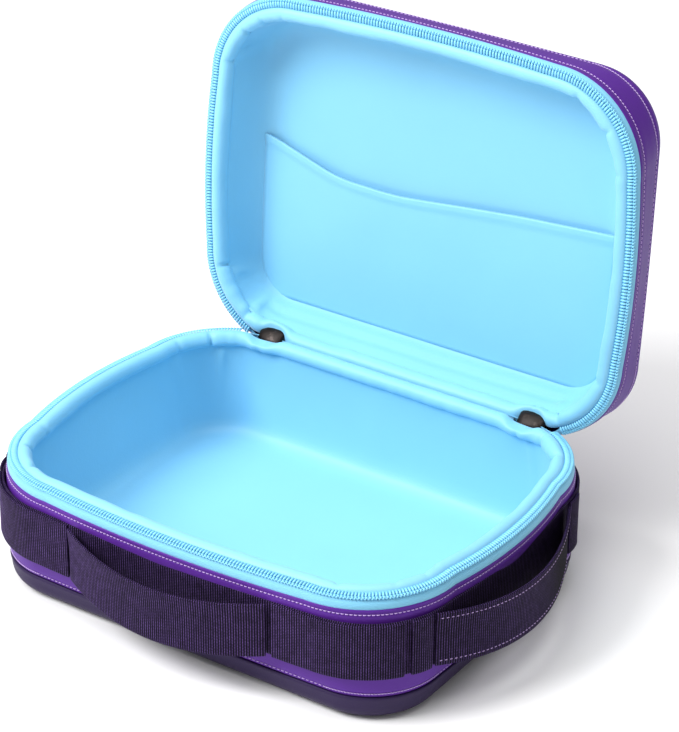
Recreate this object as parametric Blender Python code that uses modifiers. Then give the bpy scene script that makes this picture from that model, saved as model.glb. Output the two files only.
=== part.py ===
"""Soft-sided zip-round lunch box, lying flat with its lid open.

X runs along the box, the front is at -Y, the hinge at +Y, and the box rests on z = 0.
The lid's pieces are drawn closed, over the body, and an empty on the hinge line swings them open.
"""
import math

import bmesh
import bpy
from mathutils import Vector

# Plan of the rim, at the zip
HALF_LENGTH = 0.1275
FRONT_Y = -0.0990
BACK_Y = 0.0992
RIM_RADIUS = 0.0510
BODY_BOW = 0.0055        # how far the body's short sides belly out past their corners
FRONT_BOW = 0.0045
LID_BOW = 0.0025

# Heights
SEAM_Z = 0.0628          # where the body's cover is sewn to the zip tape
PARTING_Z = SEAM_Z + 0.0046   # where the two rows of teeth meet
LID_DEPTH = 0.0360
BASE_HEIGHT = 0.0140     # moulded base, up to its seam

# Body shape below the rim
WALL_LEAN = 0.0055       # how far the wall draws in from the rim to the ground
BASE_RADIUS = 0.0340     # plan radius of the base's corners
BASE_FILLET = 0.0080
LID_LEAN = 0.0050
LID_RADIUS = 0.0330      # plan radius of the lid's outer corners
LID_FILLET = 0.0120
LID_BENDS = (PARTING_Z + 0.0115, PARTING_Z + 0.0175)  # where every layer of the lid's wall bends

# Layers
COVER = 0.0012
BASE_WALL = 0.0020
BOARD = 0.0012
FOAM = 0.0060
WALL_FOAM = 0.0048
LINER = 0.0008
FIT = 0.0003             # clearance between pieces that touch
SEAT_INSET = 0.0045      # how far the floor foam stays inside the base's curved edge
BOARD_INSET = 0.0090
LID_FOAM_INSET = 0.0080
LID_BOARD_INSET = 0.0125
LINER_FIT = 0.0010       # clearance between the foam and the loose liner
POCKET_FIT = 0.0015

# Padded rim of both liners
RIM_OUTER_INSET = 0.0053
RIM_INNER_INSET = 0.0125
RIM_DROP = 0.0045
RIM_ROUNDING = 0.0012

# Zip
COIL_RADIUS = 0.0010
COIL_INSET = 0.0013
COIL_SIDES = 8
TAPE_WIDTH = 0.0013
CHAIN_GAP = 0.0005       # between the coil and the parting plane
CHAIN_END_X = HALF_LENGTH - RIM_RADIUS + 0.0220
SLIDER_X = HALF_LENGTH - RIM_RADIUS + 0.0045
SLIDER_SIZE = (0.0160, 0.0050, 0.0090)
SLIDER_Y = BACK_Y + 0.0006
SLIDER_ROUNDING = 0.0012
STOP_ROUNDING = 0.0004
SLIDER_TRAVEL = 0.0040
STOP_SIZE = (0.0040, 0.0026, 0.0060)
BRIDGE_SIZE = (0.0024, 0.0050, 0.0062)
BRIDGE_HOLE = 0.0028
BRIDGE_SEAT = 0.0006     # how deep the bridge is joined into the slider
HOLE_OFFSET = 0.0003     # how far the hole is moved out from the bridge's middle
PULL_SIZE = (0.0070, 0.0016, 0.0200)
PULL_WINDOW = (0.0036, 0.0058)

# Hinge
HINGE_Y = BACK_Y - 0.0043
HINGE_Z = SEAM_Z - 0.0003
HINGE_TAPE_SHORT = 0.0026  # how far the hinge tape ends before the relief, clear of the end stops
HINGE_TAPE_DROP = 0.0014  # how far the hinge tape stops short of the teeth, clear of the lid's swing
LID_ANGLE = math.radians(94.35)

# Webbing
WEB_LOW = 0.0270
WEB_HIGH = SEAM_Z - 0.0060
WEB_THICKNESS = 0.0014
HANDLE_END_X = 0.0570    # where the front handle leaves the box
STRAP_END_X = HALF_LENGTH - 0.0095
FRONT_HANDLE_BULGE = 0.0135
SIDE_HANDLE_BULGE = 0.0165
HANDLE_DROOP = 0.0050
SIDE_HANDLE_FRONT = 18.0  # degrees round the front corner from the short side
SIDE_HANDLE_REAR = 2.0    # degrees round the rear corner from the short side
ANCHOR_ANGLE = 13.0       # degrees of corner that each sewn end covers
HANDLE_GAP = 0.0006
HANDLE_STEPS = 14

# Pocket in the lid
POCKET_MOUTH_Y = -0.0050
POCKET_GAP = 0.0075
POCKET_SHEET = 0.0009
HEM_WIDTH = 0.0040
HEM_THICKNESS = 0.0018

# Relief for the zip's end stops and sliders, as boxes (near y, low z, high z)
RELIEF_X = (HALF_LENGTH - RIM_RADIUS - 0.0090, HALF_LENGTH - RIM_RADIUS + 0.0219)
BODY_RELIEF = (BACK_Y - 0.0039, SEAM_Z - 0.0070, SEAM_Z + 0.0092)
LID_RELIEF = (BACK_Y - 0.0102, PARTING_Z - 0.0014, PARTING_Z + 0.0094)
RELIEF_FAR_Y = BACK_Y + 0.0108

CORNER_STEPS = 5
SIDE_STEPS = 3
FILLET_STEPS = 4

# The rim is walked in eight stretches, each one unit long, ccw from the right side's front end
RIGHT, REAR_RIGHT, BACK, REAR_LEFT, LEFT, FRONT_LEFT, FRONT, FRONT_RIGHT = range(8)


def body_section(z):
    rise = min(max(z / SEAM_Z, 0.0), 1.0)
    lean = WALL_LEAN * (1 - rise) ** 1.6
    return {
        "half": HALF_LENGTH - lean,
        "front": FRONT_Y + lean,
        "back": BACK_Y - lean,
        "radius": BASE_RADIUS + (RIM_RADIUS - BASE_RADIUS) * rise,
        "side_bow": BODY_BOW * rise,
        "front_bow": FRONT_BOW * rise,
    }


def lid_section(z):
    rise = min(max((z - PARTING_Z) / LID_DEPTH, 0.0), 1.0)
    lean = LID_LEAN * rise
    return {
        "half": HALF_LENGTH - lean,
        "front": FRONT_Y + lean,
        "back": BACK_Y - lean,
        "radius": RIM_RADIUS + (LID_RADIUS - RIM_RADIUS) * rise,
        "side_bow": LID_BOW * (1 - rise),
        "front_bow": LID_BOW * (1 - rise),
    }


def rim_point(section, inset, place):
    """The point of a section's outline, drawn in by inset, at a place counted in stretches."""
    stretch = int(place) % 8
    part = place - int(place)
    radius = section["radius"]
    x = section["half"] - radius
    front = section["front"] + radius
    back = section["back"] - radius
    side = (1 - (2 * part - 1) ** 2) * section["side_bow"]
    bow = (1 - (2 * part - 1) ** 2) * section["front_bow"]
    if stretch == RIGHT:
        return Vector((x + radius - inset + side, front + (back - front) * part))
    if stretch == BACK:
        return Vector((x - 2 * x * part, back + radius - inset))
    if stretch == LEFT:
        return Vector((-x - radius + inset - side, back + (front - back) * part))
    if stretch == FRONT:
        return Vector((-x + 2 * x * part, front - radius + inset - bow))
    angle = math.radians(90 * part + 45 * (stretch - 1))
    centre = Vector((x if stretch in (REAR_RIGHT, FRONT_RIGHT) else -x,
                     back if stretch in (REAR_RIGHT, REAR_LEFT) else front))
    return centre + (radius - inset) * Vector((math.cos(angle), math.sin(angle)))


def places(start, end):
    """Places along the rim from start to end, close on the corners and wide on the sides."""
    found = [start]
    stretch = int(start)
    while stretch < end:
        steps = CORNER_STEPS if stretch % 2 else SIDE_STEPS
        for step in range(1, steps + 1):
            place = stretch + step / steps
            if start + 0.02 < place < end - 0.02:
                found.append(place)
        stretch += 1
    return found + [end]


def corner_place(x, stretch):
    """The place on a corner of the rim whose outline is at distance x from the middle."""
    centre = HALF_LENGTH - RIM_RADIUS
    angle = math.degrees(math.acos((x - centre) / RIM_RADIUS))
    part = angle / 90
    return stretch + (part if stretch in (REAR_RIGHT, FRONT_LEFT) else 1 - part)


def front_place(x):
    centre = HALF_LENGTH - RIM_RADIUS
    return FRONT + (x + centre) / (2 * centre)


def material(name, colour, roughness, metallic=0.0):
    made = bpy.data.materials.new(name)
    made.use_nodes = True
    shader = made.node_tree.nodes["Principled BSDF"]
    shader.inputs["Base Color"].default_value = (*colour, 1)
    shader.inputs["Roughness"].default_value = roughness
    shader.inputs["Metallic"].default_value = metallic
    made.diffuse_color = (*colour, 1)
    return made


def collection(name):
    made = bpy.data.collections.new(name)
    bpy.context.scene.collection.children.link(made)
    return made


def empty(name, place, angle_x=0.0, parent=None):
    made = bpy.data.objects.new(name, None)
    made.location = place
    made.rotation_euler = (angle_x, 0, 0)
    made.parent = parent
    PARTS.objects.link(made)
    return made


def piece(name, mesh, finish, pivot=None, smooth=True):
    """An object whose mesh is drawn in the box's closed frame, hung on its pivot if it has one."""
    made = bpy.data.objects.new(name, mesh)
    PARTS.objects.link(made)
    mesh.materials.append(FINISH[finish])
    if pivot:
        made.parent = pivot
        made.location = -Vector(pivot["drawn_at"])
    if smooth:
        mesh.shade_smooth()
        mesh.set_sharp_from_angle(angle=math.radians(40))
    return made


def pivot_at(name, place, angle_x=0.0, drawn_at=None, parent=None):
    made = empty(name, place, angle_x, parent)
    made["drawn_at"] = tuple(drawn_at or place)
    return made


def mesh_of(name, shape):
    bmesh.ops.recalc_face_normals(shape, faces=shape.faces)
    mesh = bpy.data.meshes.new(name)
    shape.to_mesh(mesh)
    shape.free()
    return mesh


def loft(name, rings, closed_rings, joined_ends):
    """A skin through rings of points; open ends are capped."""
    shape = bmesh.new()
    rows = [[shape.verts.new(point) for point in ring] for ring in rings]
    count = len(rows[0])
    spans = list(zip(rows, rows[1:]))
    if joined_ends:
        spans.append((rows[-1], rows[0]))
    for low, high in spans:
        for i in range(count if closed_rings else count - 1):
            j = (i + 1) % count
            shape.faces.new((low[i], low[j], high[j], high[i]))
    if not joined_ends:
        shape.faces.new(rows[0][::-1])
        shape.faces.new(rows[-1])
    return mesh_of(name, shape)


def band(name, section, profile, start=0.0, end=8.0):
    """A closed profile of (inset, z) points carried along the rim, all round or from start to end."""
    whole = end - start >= 8
    stops = places(start, end)[:-1] if whole else places(start, end)
    rings = [[(*rim_point(section(z), inset, stop), z) for inset, z in profile] for stop in stops]
    return loft(name, rings, True, whole)


def tub(name, section, profile):
    """An open profile of (inset, z) points carried all round the rim; its two ends are floors."""
    stops = places(0, 8)[:-1]
    rings = [[(*rim_point(section(z), inset, stop), z) for stop in stops] for inset, z in profile]
    return loft(name, rings, True, False)


def fillet(radius, inset, z, inner=0.0, upward=True):
    """Profile points of a rounded edge between a level face at z and the wall at inset."""
    found = []
    for step in range(FILLET_STEPS + 1):
        angle = math.radians(90 * step / FILLET_STEPS)
        run = radius - (radius - inner) * math.sin(angle)
        rise = radius - (radius - inner) * math.cos(angle)
        found.append((inset + run, z + rise if upward else z - rise))
    return found


def cutter(name, low, high, pivot=None):
    shape = bmesh.new()
    bmesh.ops.create_cube(shape, size=1.0)
    size = Vector(high) - Vector(low)
    bmesh.ops.scale(shape, vec=size, verts=shape.verts)
    bmesh.ops.translate(shape, vec=(Vector(high) + Vector(low)) / 2, verts=shape.verts)
    made = bpy.data.objects.new(name, mesh_of(name, shape))
    CUTTERS.objects.link(made)
    made.hide_render = True
    made.display_type = "WIRE"
    if pivot:
        made.parent = pivot
        made.location = -Vector(pivot["drawn_at"])
    return made


def cut(target, tools):
    for tool in tools:
        change = target.modifiers.new(tool.name, "BOOLEAN")
        change.operation = "DIFFERENCE"
        change.solver = "EXACT"
        change.object = tool


def reliefs(name, relief, pivot=None):
    near_y, low_z, high_z = relief
    found = []
    for side, label in ((-1, "left"), (1, "right")):
        xs = sorted(side * x for x in RELIEF_X)
        found.append(cutter(f"{name}_{label}", (xs[0], near_y, low_z),
                            (xs[1], RELIEF_FAR_Y, high_z), pivot))
    return found


def make_base():
    floor = fillet(BASE_FILLET, 0, 0)
    inside = fillet(BASE_FILLET, 0, 0, inner=BASE_WALL)[::-1]
    profile = floor + [(0, BASE_HEIGHT), (BASE_WALL, BASE_HEIGHT)] + inside
    piece("base_shell", tub("base_shell", body_section, profile), "base")
    low = BASE_WALL + FIT
    board = [(BOARD_INSET, low), (BOARD_INSET, low + BOARD)]
    piece("base_board", tub("base_board", body_section, board), "board", smooth=False)
    low += BOARD + FIT
    foam = [(SEAT_INSET, low), (SEAT_INSET, low + FOAM)]
    piece("floor_foam", tub("floor_foam", body_section, foam), "foam", smooth=False)


def floor_top():
    """Top of the floor foam, which the liner's floor lies on."""
    return BASE_WALL + BOARD + FOAM + 2 * FIT


def wall_levels(low, high):
    """The heights at which every layer of the body's wall bends, from low to high."""
    middle = (WEB_LOW + WEB_HIGH) / 2
    return [low] + [z for z in (BASE_HEIGHT, WEB_LOW, middle, WEB_HIGH) if low < z < high] + [high]


def upright(outer, inner, levels):
    """Profile of a standing layer between two insets."""
    return [(outer, z) for z in levels] + [(inner, z) for z in reversed(levels)]


def make_body():
    cuts = reliefs("body_relief", BODY_RELIEF)
    wall = upright(0, COVER, wall_levels(BASE_HEIGHT + FIT, SEAM_Z - FIT))
    cut(piece("body_wall", band("body_wall", body_section, wall), "cover"), cuts)
    outer = BASE_WALL + 2 * FIT
    inner = outer + WALL_FOAM
    foam = upright(outer, inner, wall_levels(floor_top() + FIT, PARTING_Z - CHAIN_GAP - RIM_DROP - FIT))
    cut(piece("body_foam", band("body_foam", body_section, foam), "foam"), cuts)
    make_liner("body_liner", body_section, floor_top() + FIT, PARTING_Z - CHAIN_GAP, inner + LINER_FIT)


def make_liner(name, section, floor, rim, inset, pivot=None):
    """A thin tub whose padded rim overhangs outwards and inwards; floor and rim are its two levels."""
    way = 1 if rim > floor else -1
    shoulder = rim - way * RIM_DROP
    rounding = RIM_ROUNDING * way
    bends = wall_levels(floor, shoulder)[1:-1] if way == 1 else LID_BENDS[::-1]
    profile = [
        (inset, floor),
        *((inset, z) for z in bends),
        (inset, shoulder),
        (RIM_OUTER_INSET, shoulder + rounding),
        (RIM_OUTER_INSET, rim - rounding),
        (RIM_OUTER_INSET + abs(rounding), rim),
        (RIM_INNER_INSET - abs(rounding), rim),
        (RIM_INNER_INSET, rim - rounding),
        (RIM_INNER_INSET, shoulder + rounding),
        (inset + LINER, shoulder - 2 * rounding),
        *((inset + LINER, z) for z in bends[::-1] if way * (shoulder - 2 * rounding - z) > 0),
        (inset + LINER, floor + way * LINER),
    ]
    return piece(name, tub(name, section, profile), "liner", pivot)


def make_zip(name, section, way, pivot=None):
    """Tape, coil and hinge tape of one half of the zip; way is -1 below the parting plane, 1 above."""
    near = PARTING_Z + way * CHAIN_GAP
    middle = near + way * COIL_RADIUS
    tape_top = near + way * (2 * COIL_RADIUS + FIT)
    seam = PARTING_Z + way * (PARTING_Z - SEAM_Z - FIT)
    inset = COIL_INSET - TAPE_WIDTH / 2
    tape = [(inset, tape_top), (inset + TAPE_WIDTH, tape_top), (inset + TAPE_WIDTH, seam), (inset, seam)]
    start = corner_place(CHAIN_END_X, REAR_LEFT)
    end = 8 + corner_place(CHAIN_END_X, REAR_RIGHT)
    piece(f"{name}_zip_tape", band(f"{name}_zip_tape", section, tape, start, end), "tape", pivot)

    angles = [math.radians(360 * step / COIL_SIDES) for step in range(COIL_SIDES)]
    coil = [(COIL_INSET + COIL_RADIUS * math.cos(a), middle + COIL_RADIUS * math.sin(a)) for a in angles]
    label = f"{name}_zip_coil"
    piece(label, band(label, section, coil, start, end), "tape", pivot)

    reach = RELIEF_X[0] - HINGE_TAPE_SHORT
    straight = HALF_LENGTH - RIM_RADIUS
    first = BACK + (straight - reach) / (2 * straight)
    high = near + way * HINGE_TAPE_DROP
    strip = [(0, high), (TAPE_WIDTH, high), (TAPE_WIDTH, seam), (0, seam)]
    label = f"{name}_hinge_tape"
    piece(label, band(label, section, strip, first, 2 * BACK + 1 - first), "tape", pivot)


def make_lid(pivot):
    cuts = reliefs("lid_relief", LID_RELIEF, pivot)
    seam = 2 * PARTING_Z - SEAM_Z
    top = PARTING_Z + LID_DEPTH
    edge = top - LID_FILLET
    wall = upright(0, COVER, [seam + FIT, *LID_BENDS, edge - FIT])
    cut(piece("lid_wall", band("lid_wall", lid_section, wall), "cover", pivot), cuts)
    outside = fillet(LID_FILLET, 0, top, upward=False)
    inside = fillet(LID_FILLET, 0, top, inner=COVER, upward=False)[::-1]
    piece("lid_top", tub("lid_top", lid_section, outside + inside), "cover", pivot)
    high = top - COVER - FIT
    board = [(LID_BOARD_INSET, high), (LID_BOARD_INSET, high - BOARD)]
    piece("lid_board", tub("lid_board", lid_section, board), "board", pivot, smooth=False)
    high -= BOARD + FIT
    foam = [(LID_FOAM_INSET, high), (LID_FOAM_INSET, high - FOAM)]
    piece("lid_foam_top", tub("lid_foam_top", lid_section, foam), "foam", pivot, smooth=False)
    floor = high - FOAM - FIT
    outer = COVER + FIT
    inner = BASE_WALL + 2 * FIT + WALL_FOAM
    near = PARTING_Z + CHAIN_GAP + RIM_DROP + FIT
    ring = upright(outer, inner, [near, *LID_BENDS, edge - FIT])
    cut(piece("lid_foam_wall", band("lid_foam_wall", lid_section, ring), "foam", pivot), cuts)
    inset = inner + LINER_FIT
    cut(make_liner("lid_liner", lid_section, floor, PARTING_Z + CHAIN_GAP, inset, pivot), cuts)
    make_pocket(pivot, floor - LINER, inset + LINER + POCKET_FIT)


def make_pocket(pivot, ceiling, inset):
    """A sheet sewn across the hinge half of the lid, standing off the liner, with a hem at its mouth."""
    z = ceiling - POCKET_GAP
    section = lid_section(z)
    straight = section["half"] - section["radius"]
    radius = section["radius"] - inset
    back = section["back"] - section["radius"]
    half = section["half"] - inset
    rear = [(math.cos(math.radians(a)), math.sin(math.radians(a))) for a in range(0, 91, 15)]
    right = [(half, POCKET_MOUTH_Y)] + [(straight + radius * c, back + radius * s) for c, s in rear]
    outline = right + [(-x, y) for x, y in reversed(right)]
    rings = [[(x, y, level) for x, y in outline] for level in (z, z - POCKET_SHEET)]
    piece("pocket_panel", loft("pocket_panel", rings, True, False), "liner", pivot, smooth=False)
    far = POCKET_MOUTH_Y - FIT
    near = far - HEM_WIDTH
    hem = [(half, near), (half, far), (-half, far), (-half, near)]
    rings = [[(x, y, level) for x, y in hem] for level in (z, z - HEM_THICKNESS)]
    piece("pocket_hem", loft("pocket_hem", rings, True, False), "liner", pivot, smooth=False)


def layer(count):
    """Insets of the inner and outer face of a layer of webbing; layer 0 lies on the cover."""
    near = -(FIT + count * (WEB_THICKNESS + FIT))
    return near, near - WEB_THICKNESS


def web_profile(count):
    near, far = layer(count)
    return upright(near, far, wall_levels(WEB_LOW, WEB_HIGH))


def make_webbing():
    piece("belt", band("belt", body_section, web_profile(0)), "webbing")
    ends = {
        "front_strap_left": (corner_place(STRAP_END_X, FRONT_LEFT), front_place(-HANDLE_END_X)),
        "front_strap_right": (front_place(HANDLE_END_X), corner_place(STRAP_END_X, FRONT_RIGHT)),
    }
    front = SIDE_HANDLE_FRONT / 90
    rear = SIDE_HANDLE_REAR / 90
    pad = ANCHOR_ANGLE / 90
    ends["right_front_anchor"] = (FRONT_RIGHT + 1 - front - pad, FRONT_RIGHT + 1 - front)
    ends["right_rear_anchor"] = (REAR_RIGHT + rear, REAR_RIGHT + rear + pad)
    ends["left_rear_anchor"] = (REAR_LEFT + 1 - rear - pad, REAR_LEFT + 1 - rear)
    ends["left_front_anchor"] = (FRONT_LEFT + front, FRONT_LEFT + front + pad)
    for name, (start, end) in ends.items():
        piece(name, band(name, body_section, web_profile(1), start, end), "webbing")


def make_handle(name, start, end, bulge, out):
    """A loop of webbing between two places on the rim, hung on a pivot along its upper edge."""
    near = layer(1)[0]
    section = body_section(WEB_HIGH)
    first = rim_point(section, near, start)
    last = rim_point(section, near, end)
    along = (last - first).normalized()
    first += along * HANDLE_GAP
    last -= along * HANDLE_GAP
    out = Vector(out)
    rings = []
    for step in range(HANDLE_STEPS + 1):
        part = step / HANDLE_STEPS
        swell = 1 - (2 * part - 1) ** 2
        base = first.lerp(last, part) + out * (bulge * swell)
        sag = HANDLE_DROOP * swell
        corners = ((0, WEB_LOW), (0, WEB_HIGH), (WEB_THICKNESS, WEB_HIGH), (WEB_THICKNESS, WEB_LOW))
        rings.append([(*(base + out * depth), z - sag) for depth, z in corners])
    middle = (first + last) / 2
    pivot = pivot_at(f"{name}_pivot", (middle.x, middle.y, WEB_HIGH))
    piece(name, loft(name, rings, True, False), "webbing", pivot)


def make_handles():
    front = SIDE_HANDLE_FRONT / 90
    rear = SIDE_HANDLE_REAR / 90
    make_handle("front_handle", front_place(-HANDLE_END_X), front_place(HANDLE_END_X),
                FRONT_HANDLE_BULGE, (0, -1))
    make_handle("right_handle", FRONT_RIGHT + 1 - front, REAR_RIGHT + rear, SIDE_HANDLE_BULGE, (1, 0))
    make_handle("left_handle", REAR_LEFT + 1 - rear, FRONT_LEFT + front, SIDE_HANDLE_BULGE, (-1, 0))


def block(name, centre, size, finish, pivot, rounding=0.0):
    shape = bmesh.new()
    bmesh.ops.create_cube(shape, size=1.0)
    bmesh.ops.scale(shape, vec=size, verts=shape.verts)
    bmesh.ops.translate(shape, vec=centre, verts=shape.verts)
    made = piece(name, mesh_of(name, shape), finish, pivot)
    if rounding:
        edge = made.modifiers.new("rounding", "BEVEL")
        edge.width = rounding
        edge.segments = 2
    return made


def make_slider(side, label):
    """End stop, slider and pull of one zip end, on a pivot that takes half of the lid's swing."""
    hinge = (0, HINGE_Y, HINGE_Z)
    half_swing = pivot_at(f"zip_end_{label}_pivot", hinge, -LID_ANGLE / 2)
    x = side * SLIDER_X
    stop_x = x - side * (SLIDER_SIZE[0] / 2 + 2 * FIT + STOP_SIZE[0] / 2)
    block(f"zip_stop_{label}", (stop_x, SLIDER_Y, PARTING_Z), STOP_SIZE, "metal", half_swing, STOP_ROUNDING)

    body = block(f"slider_{label}", (x, SLIDER_Y, PARTING_Z), SLIDER_SIZE, "metal", half_swing, SLIDER_ROUNDING)
    bridge_y = SLIDER_Y + SLIDER_SIZE[1] / 2 + BRIDGE_SIZE[1] / 2 - BRIDGE_SEAT
    half = Vector(BRIDGE_SIZE) / 2
    centre = Vector((x, bridge_y, PARTING_Z))
    bridge = cutter(f"slider_bridge_{label}", centre - half, centre + half, half_swing)
    joined = body.modifiers.new("bridge", "BOOLEAN")
    joined.operation = "UNION"
    joined.solver = "EXACT"
    joined.object = bridge
    hole_y = bridge_y + HOLE_OFFSET
    reach = Vector((BRIDGE_SIZE[0], BRIDGE_HOLE / 2, BRIDGE_HOLE / 2))
    hole_centre = Vector((x, hole_y, PARTING_Z))
    hole = cutter(f"slider_hole_{label}", hole_centre - reach, hole_centre + reach, half_swing)
    cut(body, [hole])

    # the pull hangs straight down from its bar while the lid stands open
    bar = Vector((x, hole_y - HINGE_Y, PARTING_Z - HINGE_Z))
    swing = LID_ANGLE / 2
    bar_y = HINGE_Y + bar.y * math.cos(swing) + bar.z * math.sin(swing)
    bar_z = HINGE_Z - bar.y * math.sin(swing) + bar.z * math.cos(swing)
    pivot = pivot_at(f"pull_{label}_pivot", (x, bar_y, bar_z))
    width, thick, length = PULL_SIZE
    centre = (x, bar_y, bar_z - length / 2 + thick / 2)
    plate = block(f"pull_{label}", centre, PULL_SIZE, "metal", pivot)
    window = Vector((PULL_WINDOW[0] / 2, thick, PULL_WINDOW[1] / 2))
    window_centre = Vector((x, bar_y, bar_z - thick / 2 - PULL_WINDOW[1] / 2))
    cut(plate, [cutter(f"pull_window_{label}", window_centre - window, window_centre + window, pivot)])


def main():
    make_base()
    make_body()
    make_zip("body", body_section, -1)
    make_webbing()
    make_handles()
    lid = pivot_at("lid_pivot", (0, HINGE_Y, HINGE_Z), -LID_ANGLE)
    make_lid(lid)
    make_zip("lid", lid_section, 1, lid)
    for side, label in ((-1, "left"), (1, "right")):
        make_slider(side, label)


for old in list(bpy.data.objects):
    bpy.data.objects.remove(old, do_unlink=True)
PARTS = collection("lunch_box")
CUTTERS = collection("cutters")
FINISH = {
    "base": material("base", (0.048, 0.024, 0.102), 0.55),
    "cover": material("cover", (0.170, 0.072, 0.380), 0.45),
    "liner": material("liner", (0.380, 0.745, 1.000), 0.40),
    "tape": material("tape", (0.300, 0.700, 0.930), 0.65),
    "foam": material("foam", (0.780, 0.790, 0.800), 0.90),
    "board": material("board", (0.150, 0.150, 0.160), 0.70),
    "webbing": material("webbing", (0.012, 0.007, 0.020), 0.80),
    "metal": material("metal", (0.030, 0.026, 0.024), 0.40, 0.6),
}
main()
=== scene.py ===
import math

import bpy
import numpy as np
from mathutils import Matrix, Vector, noise


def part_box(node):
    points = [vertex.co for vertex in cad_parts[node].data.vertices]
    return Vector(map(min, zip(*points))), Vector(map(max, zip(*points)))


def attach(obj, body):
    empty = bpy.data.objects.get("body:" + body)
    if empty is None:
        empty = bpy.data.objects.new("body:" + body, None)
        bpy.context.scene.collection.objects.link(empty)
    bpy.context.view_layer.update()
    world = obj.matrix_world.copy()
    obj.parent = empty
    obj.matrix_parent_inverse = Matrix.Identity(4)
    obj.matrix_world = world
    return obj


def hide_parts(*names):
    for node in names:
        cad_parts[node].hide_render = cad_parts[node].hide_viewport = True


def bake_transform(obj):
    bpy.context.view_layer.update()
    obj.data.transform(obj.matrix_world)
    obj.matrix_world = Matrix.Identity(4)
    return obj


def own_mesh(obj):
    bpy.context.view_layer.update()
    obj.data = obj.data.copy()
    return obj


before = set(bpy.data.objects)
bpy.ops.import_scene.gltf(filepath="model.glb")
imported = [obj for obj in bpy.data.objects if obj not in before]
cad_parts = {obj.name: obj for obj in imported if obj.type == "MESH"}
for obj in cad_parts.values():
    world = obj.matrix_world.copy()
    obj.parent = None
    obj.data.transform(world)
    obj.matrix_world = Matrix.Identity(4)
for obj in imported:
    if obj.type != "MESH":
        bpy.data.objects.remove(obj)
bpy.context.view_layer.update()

bl_info = {
    "name": "Soft lunch box",
    "version": (1, 0, 0),
    "blender": (4, 5, 0),
    "location": "View3D > Sidebar > Lunch box",
    "description": "Covers, webbing, zip and lining of a soft lunch box that stands open",
    "category": "Object",
}

MM = 0.001
TAU = 2 * math.pi

# Outline of the box, in metres. The body widens from its base to its seam; the lid is nearly upright.
HALF_LENGTH, FRONT_Y, BACK_Y, RIM_RADIUS = 0.1275, -0.0990, 0.0992, 0.0510
BODY_BOW, FRONT_BOW, LID_BOW = 0.0055, 0.0045, 0.0025
SEAM_Z, PARTING_Z, LID_DEPTH = 0.0628, 0.0674, 0.0360
WALL_LEAN, BASE_RADIUS, LID_LEAN, LID_RADIUS = 0.0055, 0.0340, 0.0050, 0.0330
LID_SEAM_Z = 2 * PARTING_Z - SEAM_Z
CHAIN_END_X = 0.0985
SLIDER_X = 0.0810
POCKET_Z = 0.0898
SEAM_ALLOWANCE, HEM_TURN = 0.0050, 0.0060   # cloth of the pocket that is sewn in, and turned at its mouth

HINGE = Vector((0, 0.0949, 0.0625))
LID_ANGLE = math.radians(94.35)

WEB_LOW, WEB_HIGH, WEB_THICKNESS, WEB_FIT = 0.0270, 0.0568, 0.0014, 0.0003
HANDLE_END_X, STRAP_END_X = 0.0570, 0.1180
FRONT_BULGE, SIDE_BULGE, HANDLE_DROOP = 0.0135, 0.0165, 0.0050
SIDE_FRONT, SIDE_REAR, ANCHOR = 18 / 90, 2 / 90, 13 / 90
HANDLE_GAP = 0.0006       # between a handle's end and the webbing that holds it
HANDLE_SLACK = 1.06       # a handle's length over the distance between its ends
HANDLE_CURL = 0.00096     # how far a handle's upper edge leans out
STITCH_EDGE = 0.0030      # from the edge of a handle to its row of stitches

ROD_POINT = 0.55          # thickness of a small bar at its ends
PUCKER_REACH = 2.4        # how far from a seam its puckers fade, in millimetres
COVER_WAVE = 0.00012      # depth of the cover's long waves
FLOOR_SHARES = (0.92, 0.75, 0.55, 0.35, 0.15, 0.03)

RIGHT, REAR_RIGHT, BACK, REAR_LEFT, LEFT, FRONT_LEFT, FRONT, FRONT_RIGHT = range(8)


def opened(middle=False):
    """Turns a piece drawn closed to where it stands: the lid by the whole swing, the zip ends by half."""
    swing = -LID_ANGLE / (2 if middle else 1)
    return Matrix.Translation(HINGE) @ Matrix.Rotation(swing, 4, "X") @ Matrix.Translation(-HINGE)


# ---------------------------------------------------------------- outline

def body_section(z):
    rise = min(max(z / SEAM_Z, 0), 1)
    lean = WALL_LEAN * (1 - rise) ** 1.6
    return (HALF_LENGTH - lean, FRONT_Y + lean, BACK_Y - lean,
            BASE_RADIUS + (RIM_RADIUS - BASE_RADIUS) * rise, BODY_BOW * rise, FRONT_BOW * rise)


def lid_section(z):
    rise = min(max((z - PARTING_Z) / LID_DEPTH, 0), 1)
    lean = LID_LEAN * rise
    bow = LID_BOW * (1 - rise)
    return (HALF_LENGTH - lean, FRONT_Y + lean, BACK_Y - lean,
            RIM_RADIUS + (LID_RADIUS - RIM_RADIUS) * rise, bow, bow)


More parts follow.
